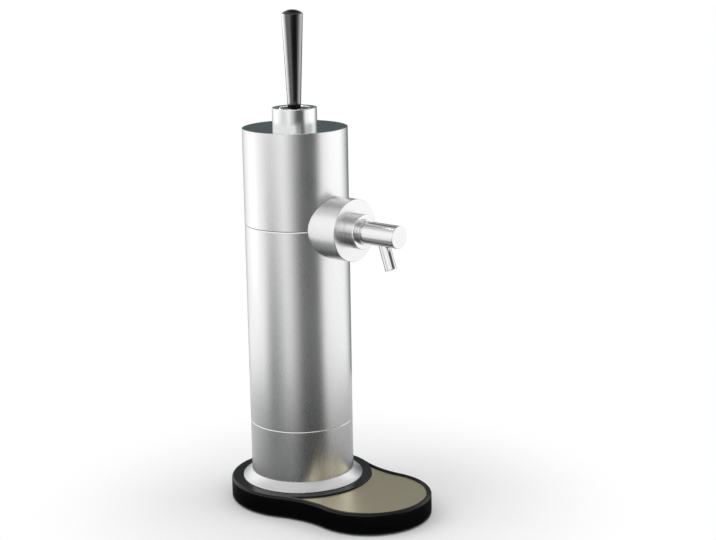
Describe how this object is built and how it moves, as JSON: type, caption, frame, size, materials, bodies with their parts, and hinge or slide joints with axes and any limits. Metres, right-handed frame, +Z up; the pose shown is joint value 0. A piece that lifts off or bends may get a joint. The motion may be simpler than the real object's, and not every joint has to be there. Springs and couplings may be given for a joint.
{
  "type": "portable beer foamer",
  "caption": "Countertop beer foamer: a tall brushed column on a lobed black base, with a lift-off pump head, a rocking tap handle and a side spout over a drip plate.",
  "frame": {"origin": "centre of the footprint, on the floor under the rubber feet", "axes": "+Z up along the column, +X towards the tap and the glass, +Y to the left of the tap"},
  "size_m": [0.184, 0.12, 0.4047],
  "materials": {
    "column_metal": "satin, finely brushed along the column",
    "polished_metal": "polished",
    "top_metal": "polished, glossy",
    "plate_metal": "satin",
    "base_black": "black, satin gloss",
    "grip_black": "black, glossy",
    "inner_plastic": "black, moulded",
    "white_plastic": "white, moulded",
    "amber_plastic": "yellow, moulded",
    "board_green": "green laminate",
    "black_rubber": "matt",
    "hose_silicone": "silicone, milky",
    "steel": "plain",
    "brass": "plain",
    "cell_jacket": "printed-free jacket, weight as an AA cell",
    "ceramic": "fired ceramic with thin metal faces"
  },
  "bodies": {
    "base": {"base_shell": "base_black", "base_cover": "inner_plastic", "ballast_plate": "steel", "rubber_feet": "black_rubber", "cover_screws": "steel", "foot_flange": "polished_metal", "flange_screws": "steel", "lower_tube": "column_metal", "coupling_sleeve": "inner_plastic", "main_tube": "column_metal", "can_mat": "black_rubber"},
    "plate": {"drip_plate": "plate_metal"},
    "head": {"chassis": "inner_plastic", "head_seal": "black_rubber", "head_shell": "column_metal", "top_disc": "top_metal", "tie_rods": "steel", "handle_collar": "polished_metal", "collar_nut": "steel", "pivot_pin": "steel", "return_spring": "steel", "switch_body": "inner_plastic", "control_board": "board_green", "board_screws": "steel", "pump_housing": "white_plastic", "pump_plate": "steel", "pump_screws": "steel", "pump_hose": "hose_silicone", "gearbox": "brass", "pump_motor": "steel", "dip_elbow": "white_plastic", "dip_tube": "steel", "battery_case": "inner_plastic", "cells": "cell_jacket", "cell_tabs": "brass", "tap_boss": "polished_metal", "inlet_barb": "brass", "boss_screws": "steel", "foamer_ring": "ceramic", "tap_stud": "steel", "tap_hub": "polished_metal", "tap_washer": "polished_metal", "tap_barrel": "polished_metal", "spout": "polished_metal"},
    "lever": {"lever_stem": "steel", "handle_grip": "grip_black"},
    "slider": {"switch_slider": "amber_plastic"},
    "rotor": {"pump_rotor": "white_plastic"},
    "roller_a": {"roller_1": "steel"},
    "roller_b": {"roller_2": "steel"},
    "roller_c": {"roller_3": "steel"},
    "hatch": {"battery_hatch": "inner_plastic", "hatch_screw": "steel", "cell_springs": "steel"}
  },
  "joints": [
    {"name": "head_lift", "type": "slide", "parent": "base", "child": "head", "axis": [0, 0, 1], "range_m": [0, 0.212]},
    {"name": "tap_lever", "type": "hinge", "parent": "head", "child": "lever", "pos_m": [-0.032, 0, 0.29917], "axis": [0, 1, 0], "range_deg": [-12, 12], "stiffness_Nm_per_rad": 0.3, "deforming": ["return_spring"]},
    {"name": "switch_slide", "type": "slide", "parent": "head", "child": "slider", "axis": [1, 0, 0], "range_m": [-0.0042, 0.0042]},
    {"name": "pump_spin", "type": "hinge", "parent": "head", "child": "rotor", "pos_m": [-0.0345, 0, 0.2445], "axis": [0, 0, 1], "continuous": true},
    {"name": "roller_spin_1", "type": "hinge", "parent": "rotor", "child": "roller_a", "pos_m": [-0.0291, 0, 0.2445], "axis": [0, 0, 1], "continuous": true},
    {"name": "roller_spin_2", "type": "hinge", "parent": "rotor", "child": "roller_b", "pos_m": [-0.0372, 0.00468, 0.2445], "axis": [0, 0, 1], "continuous": true},
    {"name": "roller_spin_3", "type": "hinge", "parent": "rotor", "child": "roller_c", "pos_m": [-0.0372, -0.00468, 0.2445], "axis": [0, 0, 1], "continuous": true},
    {"name": "plate_lift", "type": "slide", "parent": "base", "child": "plate", "axis": [0, 0, 1], "range_m": [0, 0.03]},
    {"name": "hatch_drop", "type": "slide", "parent": "head", "child": "hatch", "axis": [0, 0, -1], "range_m": [0, 0.02]}
  ],
  "couplings": [
    {"joint": "switch_slide", "follows": "tap_lever", "m_per_rad": -0.018969},
    {"joint": "roller_spin_1", "follows": "pump_spin", "ratio": -2.6875},
    {"joint": "roller_spin_2", "follows": "pump_spin", "ratio": -2.6875},
    {"joint": "roller_spin_3", "follows": "pump_spin", "ratio": -2.6875}
  ]
}
